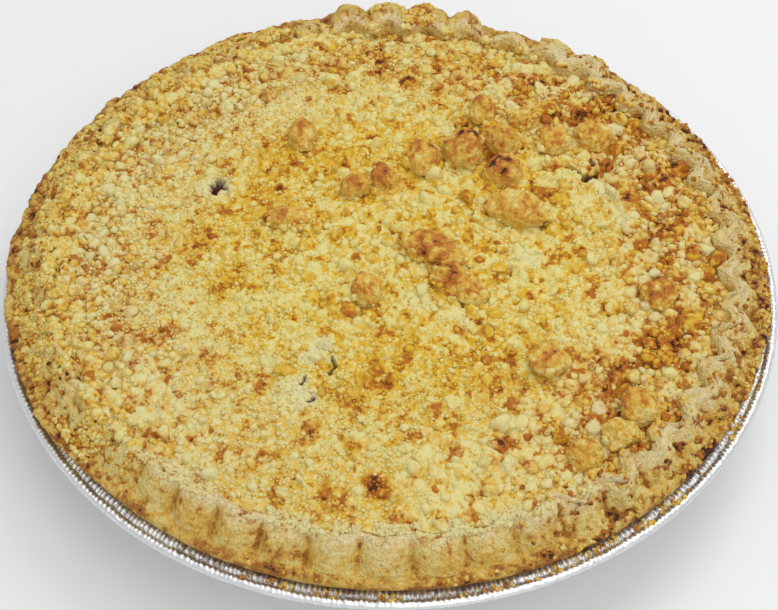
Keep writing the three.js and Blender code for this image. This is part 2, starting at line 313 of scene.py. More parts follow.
def even_steps(corners, step):
    """The corners of an outline joined by points about this far apart."""
    points = [corners[0]]
    for before, after in zip(corners, corners[1:]):
        count = max(1, round(math.dist(before, after) / step))
        for i in range(1, count + 1):
            points.append(tuple(np.array(before) + (np.array(after) - before) * i / count))
    return points


def rim_place(angle):
    """Places round the rim for noise that varies along it and not across it."""
    return np.column_stack([CREST_R * np.cos(angle), CREST_R * np.sin(angle), 0 * angle])


def buried(angle):
    """How far the flutes are buried under strewn crumbs: at the left and the back left."""
    return facing(angle, 168, 56, 72)


def flute_swing(angle):
    """How far round its flute each angle is, and how deep the crest's flute is there, in millimetres."""
    along = rim_place(angle)
    swing = FLUTES * angle + 0.35 * np.sin(3 * angle) + 0.3 * np.sin(7 * angle + 1)
    swing += 0.7 * swells(along, 21, 11)
    depth = 2 + 0.9 * facing(angle, -8, 48, 72) + 0.5 * facing(angle, 75, 22, 35)
    depth -= 1.1 * facing(angle, 258, 25, 42)
    depth = depth * (1 - 0.5 * buried(angle)) + 0.5 * swells(along, 15, 12)
    return swing, depth


def wall_reach(angle):
    """Radius of the pastry wall's inner face at the crumbs' edge."""
    swing, depth = flute_swing(angle)
    return WALL_R + INNER_SWING * depth * (2 * np.abs(np.cos(swing / 2)) ** 3 - 1)


top_side = even_steps([(103.0, 33.4), (103.4, 36), (104.1, 39.2), (104.7, 40.4), (CREST_R, 41), (106.7, 40.9),
                       (108.3, 39.9), (PAD_TOP_R, 38.6), (111.4, 36.9), (PAD_FOOT_R, 35.2), (113.6, 34.5),
                       (115.6, 34.2), (116.8, 33.8), (FLANGE_R, 32.9), (117.3, 31.6), (116.9, 30.6)], 0.42)
crust_outline = [(0, 4.4), (60, 4.4), (86, 4.4), (104.2, 28), *top_side, (114, 30.6), (109.6, 30.6),
                 (99, 15.5), (88.4, 1), (60, 1), (0, 1)]
crust = turned("crust", crust_outline, FLUTES * POINTS_PER_FLUTE)

at = vertices_of(crust)
radius = np.hypot(at[:, 0], at[:, 1])
height = at[:, 2].copy()
angle = np.arctan2(at[:, 1], at[:, 0])
swing, depth = flute_swing(angle)
along = rim_place(angle)
covered = buried(angle)
right = facing(angle, -5, 50, 72)
back = facing(angle, 80, 24, 40)
front = facing(angle, 257, 30, 48)
outside = 2 * np.abs(np.cos(swing / 2)) ** 0.75 - 1
inside = 2 * np.abs(np.cos(swing / 2)) ** 3 - 1
middle = np.cos(swing)
shown = ramp(height, 30.7, 33.2)
inner_share = 1 - ramp(radius, 103.4, 105)
outer_share = ramp(radius, 106.5, 109.2)
middle_share = 1 - inner_share - outer_share
flange_share = ramp(radius, 112.9, 115)
off_flange = 1 - flange_share
number = (np.floor(swing / (2 * np.pi) + 0.5) % FLUTES).astype(int)
chance = np.random.default_rng(5)
rises = chance.uniform(-0.9, 0.9, FLUTES)[number] * (0.5 + 0.5 * middle)
bulges = chance.uniform(-0.6, 0.7, FLUTES)[number] * (0.5 + 0.5 * outside)
sticks_out = facing(angle, 88, 11, 15) + 0.8 * facing(angle, 55.5, 5.5, 9.5)
pad_depth = 2.3 - 1.1 * covered - 0.5 * right
push = depth * (INNER_SWING * inner_share * inside + 1.05 * middle_share * middle)
push = push + outer_share * (pad_depth * (0.75 * outside - 0.05) + bulges)
push = push * off_flange + 0.8 * swells(along, 55, 13) + 0.7 * swells(along, 8, 14) * flange_share
pads = outer_share * off_flange * (1 - 0.5 * covered)
lift = off_flange * (rises + sticks_out * (1.1 * middle_share + 3.6 * outer_share))
lift += pads * (0.9 * outside - 0.3)
lift += flange_share * (0.5 * swells(along, 11, 15) + 0.35 * swells(along, 5, 16))
from_crest = radius - CREST_R - 0.2
ribbon = ramp(radius, 103.8, 105.2) * (1 - ramp(radius, 108.6, 110.4)) * right
leaves = np.exp(-(((from_crest - 1.3 * right) / 0.5) ** 2)) * ramp(swells(along, 9, 29), -0.2, 0.3)
leaves *= (1 - covered) * (1 - front)
layers = np.cos(2 * np.pi * radius / 1.8 + 3 * swells(along, 7, 32)) * ribbon
lines = pads * np.cos(2 * np.pi * radius / 1.35 + 2 * swells(along, 12, 30)) * ramp(outside, -0.4, 0.4)
lift += 0.16 * lines - 0.75 * leaves + 0.3 * layers + 0.5 * ribbon
overhang = facing(angle, 150, 62, 80)
push += (2.6 * overhang + 1.2 * facing(angle, 35, 50, 75)) * ramp(radius, 107, 116)
radius += shown * (push + 1.8 * sticks_out * outer_share * off_flange)
height += shown * lift + 0.9 * overhang * flange_share
at = np.column_stack([radius * np.cos(angle), radius * np.sin(angle), height])
tidy = front * (0.3 + 0.6 * outer_share)
roughness = 1 - 0.6 * tidy
ragged = front * np.exp(-((from_crest / 2.2) ** 2))
creases = np.clip(1 - 3.2 * np.abs(swells(at, 8, 20)), 0, 1) ** 2 * ramp(swells(at, 19, 25), -0.3, 0.3)
strewn = covered * ramp(radius, 103.5, 105) * (1 - 0.4 * ramp(radius, 112, 117))
heaped = 0.35 + 1.6 * strewn + right * (1.2 - 0.6 * ribbon) + 0.2 * back + 0.8 * ragged
clods = knobs(at, 3.8, 17)
granular = knobs(at, 2, 18)
grown = heaped * (0.9 * clods + 0.6 * granular - 0.5) + 0.4 * knobs(at, 1.3, 19)
grown = grown + 0.4 * swells(at, 5, 26) - 0.3
at[:, 2] += shown * (grown * roughness - 0.7 * creases * (1 - tidy))
grain = (0.4 * swells(at, 2.4, 21) + 0.4 * swells(at, 1.2, 27)) * roughness
at[:, 0] += shown * grain * np.cos(angle)
at[:, 1] += shown * grain * np.sin(angle)
move_vertices(crust, at)

crest_width = 1.5 + 1.5 * right + 0.6 * front
crest = np.exp(-(((from_crest - 0.2 - 1.2 * right) / crest_width) ** 2)) * ramp(height, 36, 39)
# Painted highlight: the crest's real flour is made whiter on the tops of the granular knobs and of the
# layers, and thinner in the troughs between them.
floury = crest * (0.8 + 0.7 * swells(at, 3, 22)) * (1 - 0.7 * covered) * (0.5 + 0.5 * ramp(granular, 0, 0.5))
floury *= 1 - 0.5 * ramp(-layers, 0.2, 0.9)
floury += 0.25 * pads * ramp(outside, 0.2, 1) * ramp(swells(at, 8, 23), -0.1, 0.7) * (1 - 0.6 * right)
add_mask(crust, "stain", np.clip(floury, 0, 0.85))
# The grooves between the pads are darker, partly real browning and partly painted shade. The creases get
# painted shade too, and the wall's inner face is darker low down, by the crumbs.
grooves = pads * ramp(-outside, 0.1, 0.95) + 0.5 * creases * off_flange
grooves += 0.7 * (1 - 0.6 * back) * inner_share * ramp(-height, -39.5, -36)
# Darker in the pockets at the right and among the strewn crumbs: browned crumbs, with painted shade in the
# crevices between the knobs.
pockets = right * ramp(radius, 107.5, 109.5) * ramp(swells(at, 3.2, 31) - 0.5 * granular, -0.25, 0.15)
pockets += 0.6 * strewn * ramp(swells(at, 2.4, 31) - 0.8 * granular, -0.4, 0.1)
# Painted shade in the toast below: more in the groove along the crest, in the troughs between the layers and
# between the knobs, and less on the knob tops. The flange, its outer edge and the back are browned for real.
toasted = 0.1 - 0.06 * front - 0.35 * crest * right
toasted += 0.5 * grooves + 0.17 * flange_share + 0.6 * pockets + 0.35 * leaves + 0.05 * back * (1 - crest)
toasted += 0.25 * ramp(-layers, 0.2, 0.9) * (1 - 0.6 * crest)
toasted += 0.35 * ramp(radius, 114.5, 116.8) * ramp(swells(at, 5, 33), -0.3, 0.4)
toasted += 0.22 * swells(at, 10, 24) + 0.32 * swells(at, 2.2, 28) + 0.4 * heaped * (0.5 - granular)
add_mask(crust, "toast", toasted)

# Oven browning, for pastry and crumbs alike: from pale through golden and brown to burnt as the toast
# value rises, broken up by mottling, with spots that have caught more of the heat.
browning = bpy.data.node_groups.new("oven browning", "ShaderNodeTree")
face = browning.interface
STAGES = ("Pale", "Golden", "Brown", "Burnt", "Floury")
for name in ("Toast", "Mottling", "Mottling Scale", "Spots", "Spot Scale", "Flour"):
    face.new_socket(name, in_out="INPUT", socket_type="NodeSocketFloat")
for name in STAGES:
    face.new_socket(name, in_out="INPUT", socket_type="NodeSocketColor")
face.new_socket("Color", in_out="OUTPUT", socket_type="NodeSocketColor")
given = browning.nodes.new("NodeGroupInput").outputs
place = add_node(browning, "ShaderNodeTexCoord").outputs["Object"]
patches = add_node(browning, "ShaderNodeTexNoise", Vector=place, Scale=given["Mottling Scale"], Detail=4,
                   Roughness=0.65)
centred = add_node(browning, "ShaderNodeMath", {"operation": "SUBTRACT"}, i0=patches.outputs["Fac"], i1=0.5)
mottled = add_node(browning, "ShaderNodeMath", {"operation": "MULTIPLY_ADD"}, i0=centred.outputs[0],
                   i1=given["Mottling"], i2=given["Toast"])
blots = add_node(browning, "ShaderNodeTexNoise", Vector=place, Scale=given["Spot Scale"], Detail=2,
                 Roughness=0.6)
spots = add_node(browning, "ShaderNodeMapRange", {"interpolation_type": "SMOOTHSTEP"},
                 i0=blots.outputs["Fac"], i1=0.53, i2=0.66)
spread = add_node(browning, "ShaderNodeMath", {"operation": "MULTIPLY_ADD"}, i0=spots.outputs[0],
                  i1=given["Spots"], i2=mottled.outputs[0])
colour = given["Pale"]
for name, start, end in (("Golden", 0.02, 0.45), ("Floury", 0, 1), ("Brown", 0.42, 0.9), ("Burnt", 1.0, 1.4)):
    share = given["Flour"]
    if name != "Floury":
        share = add_node(browning, "ShaderNodeMapRange", {"interpolation_type": "SMOOTHSTEP"},
                         i0=spread.outputs[0], i1=start, i2=end).outputs[0]
    mix = add_node(browning, "ShaderNodeMix", {"data_type": "RGBA"}, i0=share, i6=colour, i7=given[name])
    colour = mix.outputs[2]
browning.links.new(colour, browning.nodes.new("NodeGroupOutput").inputs["Color"])


def paint(red, green, blue):
    """A colour as read off a picture, from 0 to 255, as the shader takes it."""
    shares = [value / 255 for value in (red, green, blue)]
    return (*[s / 12.92 if s <= 0.04 else ((s + 0.055) / 1.055) ** 2.4 for s in shares], 1)


def cell_creases(tree, size):
    """How far the surface is from the middle of its own granule, for packed granules of about this size."""
    place = add_node(tree, "ShaderNodeTexCoord").outputs["Object"]
    warp = add_node(tree, "ShaderNodeTexNoise", Vector=place, Scale=700 / size, Detail=2)
    shifted = add_node(tree, "ShaderNodeVectorMath", {"operation": "MULTIPLY_ADD"}, i0=warp.outputs["Color"],
                       i1=(0.9 * size * MM,) * 3, i2=place)
    packed = add_node(tree, "ShaderNodeTexVoronoi", Vector=shifted.outputs[0], Scale=1000 / size)
    return packed.outputs["Distance"]


def granules(tree, size, height, under=None):
    """A bump of packed rounded granules of about this size, this high, in millimetres, over another bump."""
    raised = add_node(tree, "ShaderNodeBump", {"invert": True}, Height=cell_creases(tree, size), Strength=1,
                      Distance=height * MM)
    if under:
        tree.links.new(under, raised.inputs["Normal"])
    return raised.outputs["Normal"]


def browned(tree, mottling, mottling_size, spots, spot_size, colours, granule, much):
    """The oven browning group, placed in a material with its own values and the piece's own masks.

    The creases between granules of this size are given this much more toast than their tops, as painted
    shade.
    """
    toast = add_node(tree, "ShaderNodeMath", {"operation": "MULTIPLY_ADD"}, i0=cell_creases(tree, granule),
                     i1=much, i2=mask(tree, "toast"))
    made = add_node(tree, "ShaderNodeGroup", {"node_tree": browning}, Toast=toast.outputs[0],
                    Flour=mask(tree, "stain"), Mottling=mottling, Mottling_Scale=1000 / mottling_size,
                    Spots=spots, Spot_Scale=1000 / spot_size)
    for name, colour in zip(STAGES, colours):
        made.inputs[name].default_value = paint(*colour)
    return made.outputs["Color"]


pastry, shader = material("baked pastry", 0.65, shine=0.3)
tree = pastry.node_tree
PASTRY_COLOURS = [(228, 205, 126), (219, 178, 80), (172, 110, 44), (78, 42, 24), (234, 216, 166)]
# Painted shade: the creases between the 1.2 mm granules get 0.4 more toast than their tops.
tree.links.new(browned(tree, 1.1, 1.6, 0.3, 3.5, PASTRY_COLOURS, 1.2, 0.4), shader.inputs["Base Color"])
tree.links.new(granules(tree, 1.1, 0.5, granules(tree, 0.6, 0.3)), shader.inputs["Normal"])
crust.data.materials.append(pastry)
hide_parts("pastry_crust")
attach(crust, "root")

# The cherry filling: thick sour cherries under the crumbs. It has boiled up in three places, where it
# shows dark and glossy in the cracks between the crumbs and has stained them.
cherry, shader = material("cherry filling", 0.2)
tree = cherry.node_tree
blotches = add_node(tree, "ShaderNodeMix", {"data_type": "RGBA"}, i0=mottle(tree, 2),
                    i6=paint(66, 22, 30), i7=paint(112, 36, 42))
tree.links.new(blotches.outputs[2], shader.inputs["Base Color"])
tree.links.new(bump(tree, mottle(tree, 1.5), 0.4, 0.4), shader.inputs["Normal"])
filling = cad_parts["cherry_filling"]
filling.data.materials.clear()
filling.data.materials.append(cherry)

# The crumb layer: streusel, which is butter, sugar and flour rubbed into grains, poured over the filling
# and baked into one cake. Its relief is pressed from thousands of grains, and cracks run through it.
EDGE_Z = 39.3
CROWN = 4.4
TOPPING_R = 102
CRUMB_REACH = 105
BED_STEP = 0.62
BED_SKIRT = 2.5
# How much less toasted the layer is than the loose crumbs that lie on it
BED_PALER = 0.12
# Each crack: from x and y to x and y, its width and its depth
CHERRY_CRACKS = [(57, 36.1, 60.2, 34.4, 0.8, 4), (62.6, 30.6, 66.4, 33.2, 2.6, 4.5),
                 (65.8, 36.2, 64.3, 42.8, 0.7, 2), (60.2, 34.4, 62.4, 29.9, 1, 3),
                 (-56.3, 21.1, -56, 28.6, 1, 4.5), (-58.4, 25.4, -53, 24.3, 1, 4.5),
                 (-57.6, 22.6, -54.2, 27, 0.8, 3), (-16.6, -45.7, -16.2, -49, 0.4, 3),
                 (-16.2, -49, -17.4, -51.4, 0.2, 2), (-24.4, -53, -25.6, -54.8, 0.2, 2),
                 (-21.9, -59.2, -23, -60.3, 0.4, 2)]
DRY_CRACKS = [(67, 31.5, 71.3, 22.4, 0.7, 2), (71.3, 22.4, 73.6, 11.9, 0.7, 1.6),
              (-16.8, -43.7, -22, -40.2, 0.5, 1.5), (20.4, -22, 22.2, -25.5, 1, 3),
              (37, -9.1, 36.6, -12.4, 0.7, 3), (50.3, 20.1, 51.5, 22, 0.7, 3), (47.3, 9.6, 48, 7.6, 0.8, 3),
              (30.4, 42.3, 32.2, 35.3, 1.2, 3), (21.1, 53.2, 23, 49.3, 0.8, 3), (-66, 60, -60, 62, 0.7, 2.5),
              (55, 68, 57, 64, 0.8, 3), (18, 56, 23, 63, 0.6, 2), (-60, 62, -58, 57.5, 0.7, 2.5),
              (25, -90.8, 27.6, -91.5, 0.5, 3)]


def topping_z(places):
    """Height of the layer at each x and y: a low dome of clumps, sunk from the rim at the back right."""
    x, y = places[:, 0], places[:, 1]
    angle = np.arctan2(y, x)
    share = np.minimum(np.hypot(x, y) / TOPPING_R, 1)
    sunk = (2.6 * facing(angle, 61, 27, 46) + 1.6 * facing(angle, -15, 30, 45)) * share ** 8
    flat = np.column_stack([x, y, 0 * x])
    clumps = 0.8 * swells(flat, 38, 31) + 1.5 * np.abs(swells(flat, 9, 32))
    clumps += np.abs(swells(flat, 4.6, 33))
    return EDGE_Z - sunk + CROWN * (1 - share ** 2.4) + (clumps - 0.75) * (1 - share ** 14)


def along_lines(places, lines, edge):
    """The strongest of these lines at each x and y, fading out over the edge beyond each line's width."""
    flat = np.column_stack([places[:, :2], np.zeros(len(places))])
    wander = 0.5 * np.column_stack([swells(flat, 2.2, 34), swells(flat, 2.2, 35)])
    most = np.zeros(len(places))
    for x0, y0, x1, y1, width, much in lines:
        along = np.array([x1 - x0, y1 - y0])
        away = flat[:, :2] + wander - (x0, y0)
        share = np.clip(away @ along / (along @ along), 0, 1)
        away = np.hypot(*(away - share[:, None] * along).T)
        most = np.maximum(most, much * (1 - ramp(away, 0.35 * width, 0.35 * width + edge)))
    return most


def cracked(places, edge=0.5):
    """How deep the layer is cracked at each x and y, in millimetres."""
    return along_lines(places, CHERRY_CRACKS + DRY_CRACKS, edge)


# Places toasted darker than their surroundings: x, y, radius and how much
TOASTED = [(31, -35.7, 7, 0.3), (79, -39.2, 9, 0.28), (54.5, -4.2, 3.4, 0.6), (57.5, -2.6, 3, 0.55),
           (51.8, -5.6, 3, 0.5), (77, 20, 14, 0.14), (88, 2, 12, 0.16), (72.8, -10.5, 2.6, 0.5),
           (62.4, -12.8, 2.4, 0.4), (67.9, -21.6, 2.2, 0.45), (62.9, -41.3, 4, 0.3), (57, -45, 8, 0.2),
           (70, -50, 10, 0.2), (5.5, 75, 4, 0.65), (6.8, 66, 3, 0.4), (-3.1, -88.7, 4.5, 0.9),
           (26.4, -91.1, 1.2, 0.7), (-67, -76, 8, 0.25), (-68, 59, 7, 0.2), (36, 41, 20, 0.14),
           (3, 26, 10, 0.22), (-60, 1, 8, 0.25), (-50, -14, 7, 0.25), (20, -13, 14, 0.12),
           (60, 56, 18, 0.12), (-10.3, -76.4, 3.4, 0.5), (-22.8, -70.4, 2.8, 0.5), (-16, -94, 6, 0.3),
           (-5.9, -53.3, 3.4, 0.4), (0.6, -54.3, 3.2, 0.45), (-12.1, -60.4, 3.6, 0.35),
           (13.9, -65.1, 8, 0.18), (25, 66, 14, 0.12), (-40, 19, 12, 0.15), (45, -50, 14, 0.14),
           (-24, -43.5, 3, 0.25), (30, -52, 9, 0.2), (-36, 41, 9, 0.22), (0, -40, 9, 0.16), (8, 1, 7, 0.16),
           (-20, 37, 7, 0.16), (-95, 18, 7, 0.2)]
# Streaks left pale and floury: from x and y to x and y, width and how much
FLOURY = [(-58, 25, -54, 24.5, 9, 0.75), (66, 31, 71.3, 22.4, 2, 1), (71.3, 22.4, 73.4, 12, 1.2, 0.9),
          (-19.5, -40.5, -24, -46, 4, 0.8), (-27.5, -55, -24, -60, 5, 0.9), (-33, -57, -27, -62, 4, 0.5),
          (39, -3, 45, -6, 5, 0.5), (7, -23, 12, -25, 6, 0.35), (20, -29, 24, -33, 5, 0.25),
          (17.4, 49, 19, 52, 5, 0.35), (19.7, 28, 21, 31, 4, 0.3), (-36, -46, -33, -48, 6, 0.3),
          (0, 19, 3, 22, 6, 0.2)]


def spread_of(places, patches, pitch, seed):
    """The strongest of these round patches at each x and y, with ragged edges."""
    flat = np.column_stack([places[:, :2], np.zeros(len(places))])
    most = np.zeros(len(places))
    ragged = swells(flat, pitch, seed)
    for x, y, reach, much in patches:
        away = np.hypot(flat[:, 0] - x, flat[:, 1] - y) + 0.45 * reach * ragged
        most = np.maximum(most, much * (1 - ramp(away, 0.35 * reach, 1.2 * reach)))
    return most


def band_at(places):
    """How far each x and y lies in the coarse, well baked band along the rim; the front has none."""
    share = np.hypot(places[:, 0], places[:, 1]) / TOPPING_R
    return ramp(share, 0.7, 0.86) * (1 - facing(np.arctan2(places[:, 1], places[:, 0]), 258, 32, 48))


def right_at(places):
    """How far each x and y lies in the part at the right that the oven has browned most."""
    share = np.hypot(places[:, 0], places[:, 1]) / TOPPING_R
    return facing(np.arctan2(places[:, 1], places[:, 0]), 0, 50, 75) * ramp(share, 0.62, 0.85)


def toast_at(places):
    """How far the crumbs are toasted at each x and y, from 0 to 1, before each crumb's own share."""
    flat = np.column_stack([places[:, :2], np.zeros(len(places))])
    share = np.hypot(flat[:, 0], flat[:, 1]) / TOPPING_R
    left = facing(np.arctan2(flat[:, 1], flat[:, 0]), 180, 60, 85)
    right = right_at(places)
    band = band_at(places) * (1 - 0.6 * left)
    toast = 0.02 + 0.04 * ramp(share, 0.55, 1) + 0.17 * right + 0.1 * band
    toast += 0.13 * swells(flat, 24, 41) + (0.13 + 0.25 * right + 0.15 * band) * swells(flat, 7, 42)
    toast += 0.28 * ramp(swells(flat, 3.4, 44), 0.3, 0.7)
    return toast + spread_of(places, TOASTED, 3.5, 43) - 0.6 * flour_at(places)


def flour_at(places):
    """How floury the crumbs are at each x and y, from 0 to 1."""
    return along_lines(places, FLOURY, 2.5)


def dusting_at(places):
    """The thin dusting of flour that leaves the outer crumbs creamier than the middle, most at the sides."""
    share = np.hypot(places[:, 0], places[:, 1]) / TOPPING_R
    left = facing(np.arctan2(places[:, 1], places[:, 0]), 180, 60, 85)
    return ramp(share, 0.5, 0.75) * (0.16 + 0.14 * left + 0.16 * right_at(places))


cells = 2 * math.ceil((TOPPING_R + 4) / BED_STEP)
half = cells / 2 * BED_STEP
bpy.ops.object.select_all(action="DESELECT")
bpy.ops.mesh.primitive_grid_add(x_subdivisions=cells, y_subdivisions=cells, size=2 * half * MM)
bed = bpy.context.object
bed.name = "crumb_layer"
at = vertices_of(bed)
row = cells + 1
x_of = at[:, 0].reshape(row, row)
y_of = at[:, 1].reshape(row, row)
surface = topping_z(at).reshape(row, row)
plain_tone = toast_at(at).reshape(row, row)
tones = plain_tone - BED_PALER


def coarse(x, y):
    """How coarse the crumbs are: most in the middle and on the right, least at the left and the front."""
    away = np.hypot(x, y)
    centre = np.exp(-((x - 15) ** 2 + (y - 10) ** 2) / 44 ** 2)
    right = 0.85 * ramp(away, 66, 76) * ramp(x, 0, 20)
    back_left = 0.5 * ramp(away, 76, 88) * ramp(-x, 0, 20) * ramp(y, -60, 10)
    front = 0.7 * ramp(away, 80, 88) * ramp(-y, 20, 45) * ramp(-x, 45, 60)
    return np.maximum.reduce([centre, right, back_left, front, 0 * x + 0.05])


def fine(x, y):
    """How fine the crumbs are."""
    return 1.1 - coarse(x, y)


def press_in(tries, sizes, sunk, region, seed):
    """Presses grains of these sizes into the layer, each an oval mound with a tone of its own."""
    chance = np.random.default_rng(seed)
    away = CRUMB_REACH * np.sqrt(chance.random(tries))
    turn = 2 * np.pi * chance.random(tries)
    spots = np.column_stack([away * np.cos(turn), away * np.sin(turn)])
    spots = spots[chance.random(tries) < region(*spots.T)]
    count = len(spots)
    size = chance.uniform(*sizes, count)
    stretch = chance.uniform(0.7, 1.0, count)
    heights = topping_z(spots) + size * chance.uniform(*sunk, count)
    turns = 2 * np.pi * chance.random(count)
    shades = chance.normal(0, 0.1, count) + 0.35 * (chance.random(count) < 0.09)
    for (x, y), r, thin, z, turn, shade in zip(spots, size, stretch, heights, turns, shades):
        i, j, reach = round((y + half) / BED_STEP), round((x + half) / BED_STEP), math.ceil(r / BED_STEP)
        patch = np.s_[max(i - reach, 0):i + reach + 1, max(j - reach, 0):j + reach + 1]
        across, aside = x_of[patch] - x, y_of[patch] - y
        long = across * math.cos(turn) + aside * math.sin(turn)
        wide = (aside * math.cos(turn) - across * math.sin(turn)) / thin
        left = r * r - long * long - wide * wide
        top = np.where(left > 0, z + 0.7 * np.sqrt(np.maximum(left, 0)), -1)
        wins = top > surface[patch]
        surface[patch] = np.where(wins, top, surface[patch])
        tones[patch] = np.where(wins, plain_tone[patch] + shade - BED_PALER, tones[patch])


smooth = topping_z(at)
press_in(6500, (1.7, 2.7), (-0.75, -0.2), coarse, 8)
press_in(17000, (1.0, 1.7), (-0.5, 0.15), coarse, 9)
press_in(17000, (0.7, 1.1), (-0.4, 0.3), fine, 10)
at[:, 2] = surface.ravel()
hollow = 1 - ramp(at[:, 2] - smooth, -0.1, 1.3)
angle = np.arctan2(at[:, 1], at[:, 0])
reach = wall_reach(angle)
radius = np.hypot(at[:, 0], at[:, 1])
outward = np.minimum(radius, reach + 0.3) / np.maximum(radius, 1)
keep = radius < reach + 1.2
at[:, 0] *= outward
at[:, 1] *= outward
flat = np.column_stack([at[:, :2], 0 * angle])
ridges = np.clip(1 - 5 * np.abs(swells(flat, 13, 36)), 0, 1) * ramp(swells(flat, 17, 37), 0, 0.4)
at[:, 2] += 0.2 * swells(flat, 1.4, 38) - 1.1 * ridges
at[:, 2] -= cracked(at)
move_vertices(bed, at)
# Painted shade: the hollows between the pressed grains get more toast, most in the band along the rim and at
# the right. The furrows are made darker as well.
toast = tones.ravel() + (0.28 + 0.25 * band_at(at) + 0.1 * right_at(at)) * hollow + 0.15 * ridges
dusted = dusting_at(at) * (1.7 - 1.4 * hollow) * (1 - ramp(toast, 0.25, 0.6))
add_mask(bed, "toast", toast)
add_mask(bed, "juice", along_lines(at, [(*line[:4], line[4] + 0.5, 0.95) for line in CHERRY_CRACKS], 0.45))
add_mask(bed, "stain", np.maximum(flour_at(at) * (0.4 + 0.6 * hollow), dusted))
bpy.ops.object.mode_set(mode="EDIT")
bpy.ops.mesh.select_mode(type="VERT")
bpy.ops.mesh.select_all(action="DESELECT")
bpy.ops.object.mode_set(mode="OBJECT")
bed.data.vertices.foreach_set("select", ~keep)
bpy.ops.object.mode_set(mode="EDIT")
bpy.ops.mesh.delete(type="VERT")
bpy.ops.mesh.select_all(action="DESELECT")
bpy.ops.mesh.select_non_manifold()
bpy.ops.mesh.extrude_region_move(TRANSFORM_OT_translate={"value": (0, 0, -BED_SKIRT * MM)})
bpy.ops.mesh.edge_face_add()
bpy.ops.object.mode_set(mode="OBJECT")
bed.data.shade_smooth()


crumbs, shader = material("toasted crumbs", 0.8, shine=0.2)
tree = crumbs.node_tree
CRUMB_COLOURS = [(232, 219, 142), (226, 184, 52), (186, 112, 40), (92, 52, 28), (226, 218, 174)]
# Painted shade: the creases between the 1 mm granules get 0.25 more toast than their tops.
stained = add_node(tree, "ShaderNodeMix", {"data_type": "RGBA"}, i0=mask(tree, "juice"),
                   i6=browned(tree, 0.9, 2, 0.45, 5.5, CRUMB_COLOURS, 1, 0.25), i7=paint(88, 38, 42))
tree.links.new(stained.outputs[2], shader.inputs["Base Color"])
tree.links.new(granules(tree, 0.8, 0.2, granules(tree, 1.7, 0.3)), shader.inputs["Normal"])
bed.data.materials.append(crumbs)
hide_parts("crumb_topping")
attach(bed, "root")

# The lumps: where the rubbed dough has held together it has baked into knobbly lumps as large as berries,
# browned on top, and burnt on two of the tallest. The largest is a strip folded over on itself.
LUMP_TOAST = {"lump_folded": 0.4, "lump_folded_tail": 0.42, "lump_long": 0.34, "lump_burnt_front": 0.42,
              "lump_burnt_back": 0.36, "lump_behind": 0.36, "lump_rough": 0.36, "lump_brown_left": 0.42,
              "lump_dark_left": 0.45, "lump_dark_right": 0.48, "lump_pale_right": 0.1}
LUMP_BURNS = {"lump_burnt_front": (33, 32, 5.5, 0.7), "lump_burnt_back": (26, 41, 6, 0.8),
              "lump_dark_left": (-2, 25, 5, 0.3), "lump_dark_right": (84.5, -15, 4.5, 0.35),
              "lump_brown_left": (11, 38, 4.5, 0.15), "lump_behind": (32, 60, 4.5, 0.25)}
FOLD = even_steps([(8.2, -1.4), (10.1, -8.4), (11.3, -12.4), (15.3, -16.7), (20.4, -22.9)], 1)
BRANCH = even_steps([(12.2, -11.2), (16.2, -11.5), (20.4, -14.6)], 1)

lump_dough, shader = material("browned lumps", 0.78, shine=0.2)
tree = lump_dough.node_tree
LUMP_COLOURS = [(230, 213, 134), (221, 176, 72), (192, 118, 50), (84, 52, 36), (222, 212, 172)]
# Painted shade: the creases between the 0.9 mm granules get 0.3 more toast than their tops.
tree.links.new(browned(tree, 1, 1.8, 0.3, 4, LUMP_COLOURS, 0.9, 0.3), shader.inputs["Base Color"])
tree.links.new(granules(tree, 0.7, 0.25, granules(tree, 1.4, 0.35)), shader.inputs["Normal"])


def surface_of(piece):
    """A piece's surface, in millimetres, ready for rays to be cast at it."""
    corners = [face.vertices[:] for face in piece.data.polygons]
    return BVHTree.FromPolygons(vertices_of(piece).tolist(), corners)


